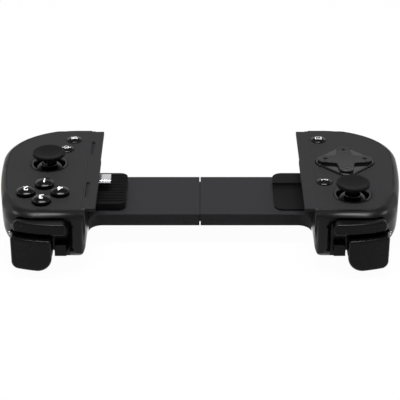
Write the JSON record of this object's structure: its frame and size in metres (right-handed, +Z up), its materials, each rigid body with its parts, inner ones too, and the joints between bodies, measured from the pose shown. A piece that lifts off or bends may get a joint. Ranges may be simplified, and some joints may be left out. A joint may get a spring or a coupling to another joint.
{
  "type": "telescoping phone game controller",
  "caption": "Telescoping phone game controller: grips with thumb sticks, keys, bumpers and triggers, joined by a sprung sliding bridge.",
  "frame": {"origin": "centre of the bounding box's underside, between the grips' flat palm bottoms, with the bridge closed", "axes": "+X across the controller to the player's left grip, +Y from the shoulder keys to the player, +Z up, through the sticks"},
  "size_m": [0.205, 0.1045, 0.0387],
  "materials": {
    "shell": "fine texture",
    "plate": "satin",
    "bridge": "satin",
    "rail": "satin",
    "gloss": "gloss",
    "key": "satin gloss",
    "shoulder": "satin gloss",
    "rubber": "matt",
    "boot": "satin",
    "plug": "bright",
    "tongue": "plain",
    "screw": "blackened",
    "pin": "bright",
    "spring": "drawn wire",
    "board": "satin",
    "switch": "plain",
    "module": "plain",
    "gimbal": "plain"
  },
  "bodies": {
    "right_grip": {"right_faceplate": "plate", "right_housing": "shell", "right_palm_cover": "shell", "right_case_screws": "screw", "right_main_board": "board", "right_switches": "switch", "right_shoulder_board": "board", "right_stick_ring": "gloss", "right_stick_module": "module", "right_trigger_pin": "pin", "right_trigger_spring": "spring", "right_phone_pad": "rubber", "right_bridge_cover": "bridge", "right_plug_boot": "boot", "right_plug_shell": "plug", "right_plug_tongue": "tongue"},
    "left_grip": {"left_faceplate": "plate", "left_housing": "shell", "left_palm_cover": "shell", "left_case_screws": "screw", "left_main_board": "board", "left_switches": "switch", "left_shoulder_board": "board", "left_stick_ring": "gloss", "left_stick_module": "module", "left_trigger_pin": "pin", "left_trigger_spring": "spring", "left_phone_pad": "rubber", "left_bridge_cover": "bridge", "left_pad_post": "switch"},
    "rail": {"slide_rail": "rail", "left_bridge_springs": "spring", "right_bridge_springs": "spring"},
    "right_stick_frame": {"right_stick_carrier": "gimbal"},
    "right_stick_tilt": {"right_stick_yoke": "gimbal"},
    "right_stick": {"right_stick_base": "gloss", "right_stick_cap": "rubber"},
    "right_upper_key": {"right_upper_key": "key"},
    "right_lower_key": {"right_lower_key": "key"},
    "right_button_1": {"right_button_1": "gloss"},
    "right_button_2": {"right_button_2": "gloss"},
    "right_button_3": {"right_button_3": "gloss"},
    "right_button_4": {"right_button_4": "gloss"},
    "right_bumper": {"right_bumper": "shoulder"},
    "right_side_key": {"right_side_key": "shoulder"},
    "right_trigger": {"right_trigger": "shoulder"},
    "left_stick_frame": {"left_stick_carrier": "gimbal"},
    "left_stick_tilt": {"left_stick_yoke": "gimbal"},
    "left_stick": {"left_stick_base": "gloss", "left_stick_cap": "rubber"},
    "left_upper_key": {"left_upper_key": "key"},
    "left_lower_key": {"left_lower_key": "key"},
    "direction_pad_ball": {"left_pad_ball": "pin"},
    "direction_pad": {"left_direction_pad": "gloss"},
    "left_bumper": {"left_bumper": "shoulder"},
    "left_side_key": {"left_side_key": "shoulder"},
    "left_trigger": {"left_trigger": "shoulder"}
  },
  "joints": [
    {"name": "rail_slide", "type": "slide", "parent": "right_grip", "child": "rail", "axis": [1, 0, 0], "range_m": [0, 0.034], "stiffness_N_per_m": 130, "springref_m": -0.03, "deforming": ["right_bridge_springs"]},
    {"name": "bridge_slide", "type": "slide", "parent": "rail", "child": "left_grip", "axis": [1, 0, 0], "range_m": [0, 0.034], "stiffness_N_per_m": 130, "springref_m": -0.03, "deforming": ["left_bridge_springs"]},
    {"name": "right_stick_press", "type": "slide", "parent": "right_grip", "child": "right_stick_frame", "axis": [0, 0, -1], "range_m": [0, 0.0004], "stiffness_N_per_m": 3000, "springref_m": -0.0005},
    {"name": "right_stick_fore_aft", "type": "hinge", "parent": "right_stick_frame", "child": "right_stick_tilt", "pos_m": [-0.0779, 0.0102, 0.0205], "axis": [1, 0, 0], "range_deg": [-14, 14], "stiffness_Nm_per_rad": 0.12},
    {"name": "right_stick_side_to_side", "type": "hinge", "parent": "right_stick_tilt", "child": "right_stick", "pos_m": [-0.0779, 0.0102, 0.0205], "axis": [0, 1, 0], "range_deg": [-14, 14], "stiffness_Nm_per_rad": 0.12},
    {"name": "right_upper_key_press", "type": "slide", "parent": "right_grip", "child": "right_upper_key", "axis": [0, 0, -1], "range_m": [0, 0.00075], "stiffness_N_per_m": 900, "springref_m": -0.0006},
    {"name": "right_lower_key_press", "type": "slide", "parent": "right_grip", "child": "right_lower_key", "axis": [0, 0, -1], "range_m": [0, 0.00075], "stiffness_N_per_m": 900, "springref_m": -0.0006},
    {"name": "right_button_1_press", "type": "slide", "parent": "right_grip", "child": "right_button_1", "axis": [0, 0, -1], "range_m": [0, 0.00075], "stiffness_N_per_m": 900, "springref_m": -0.0006},
    {"name": "right_button_2_press", "type": "slide", "parent": "right_grip", "child": "right_button_2", "axis": [0, 0, -1], "range_m": [0, 0.00075], "stiffness_N_per_m": 900, "springref_m": -0.0006},
    {"name": "right_button_3_press", "type": "slide", "parent": "right_grip", "child": "right_button_3", "axis": [0, 0, -1], "range_m": [0, 0.00075], "stiffness_N_per_m": 900, "springref_m": -0.0006},
    {"name": "right_button_4_press", "type": "slide", "parent": "right_grip", "child": "right_button_4", "axis": [0, 0, -1], "range_m": [0, 0.00075], "stiffness_N_per_m": 900, "springref_m": -0.0006},
    {"name": "right_bumper_press", "type": "hinge", "parent": "right_grip", "child": "right_bumper", "pos_m": [-0.089, -0.0388, 0.0255], "axis": [0, 0, 1], "range_deg": [0, 2.5], "stiffness_Nm_per_rad": 0.3, "springref_deg": -1.72},
    {"name": "right_side_key_press", "type": "slide", "parent": "right_grip", "child": "right_side_key", "axis": [0, 1, 0], "range_m": [0, 0.0006], "stiffness_N_per_m": 900, "springref_m": -0.0006},
    {"name": "right_trigger_pull", "type": "hinge", "parent": "right_grip", "child": "right_trigger", "pos_m": [-0.08275, -0.0381, 0.0183], "axis": [1, 0, 0], "range_deg": [0, 14], "stiffness_Nm_per_rad": 0.06, "springref_deg": -17.19},
    {"name": "left_stick_press", "type": "slide", "parent": "left_grip", "child": "left_stick_frame", "axis": [0, 0, -1], "range_m": [0, 0.0004], "stiffness_N_per_m": 3000, "springref_m": -0.0005},
    {"name": "left_stick_fore_aft", "type": "hinge", "parent": "left_stick_frame", "child": "left_stick_tilt", "pos_m": [0.076, -0.0231, 0.0205], "axis": [1, 0, 0], "range_deg": [-14, 14], "stiffness_Nm_per_rad": 0.12},
    {"name": "left_stick_side_to_side", "type": "hinge", "parent": "left_stick_tilt", "child": "left_stick", "pos_m": [0.076, -0.0231, 0.0205], "axis": [0, 1, 0], "range_deg": [-14, 14], "stiffness_Nm_per_rad": 0.12},
    {"name": "left_upper_key_press", "type": "slide", "parent": "left_grip", "child": "left_upper_key", "axis": [0, 0, -1], "range_m": [0, 0.00075], "stiffness_N_per_m": 900, "springref_m": -0.0006},
    {"name": "left_lower_key_press", "type": "slide", "parent": "left_grip", "child": "left_lower_key", "axis": [0, 0, -1], "range_m": [0, 0.00075], "stiffness_N_per_m": 900, "springref_m": -0.0006},
    {"name": "direction_pad_fore_aft", "type": "hinge", "parent": "left_grip", "child": "direction_pad_ball", "pos_m": [0.0751, 0.01205, 0.0272], "axis": [1, 0, 0], "range_deg": [-4, 4], "stiffness_Nm_per_rad": 0.25},
    {"name": "direction_pad_side_to_side", "type": "hinge", "parent": "direction_pad_ball", "child": "direction_pad", "pos_m": [0.0751, 0.01205, 0.0272], "axis": [0, 1, 0], "range_deg": [-4, 4], "stiffness_Nm_per_rad": 0.25},
    {"name": "left_bumper_press", "type": "hinge", "parent": "left_grip", "child": "left_bumper", "pos_m": [0.089, -0.0388, 0.0255], "axis": [0, 0, -1], "range_deg": [0, 2.5], "stiffness_Nm_per_rad": 0.3, "springref_deg": -1.72},
    {"name": "left_side_key_press", "type": "slide", "parent": "left_grip", "child": "left_side_key", "axis": [0, 1, 0], "range_m": [0, 0.0006], "stiffness_N_per_m": 900, "springref_m": -0.0006},
    {"name": "left_trigger_pull", "type": "hinge", "parent": "left_grip", "child": "left_trigger", "pos_m": [0.08275, -0.0381, 0.0183], "axis": [1, 0, 0], "range_deg": [0, 14], "stiffness_Nm_per_rad": 0.06, "springref_deg": -17.19}
  ],
  "couplings": [
    {"joint": "bridge_slide", "follows": "rail_slide", "ratio": 1}
  ]
}
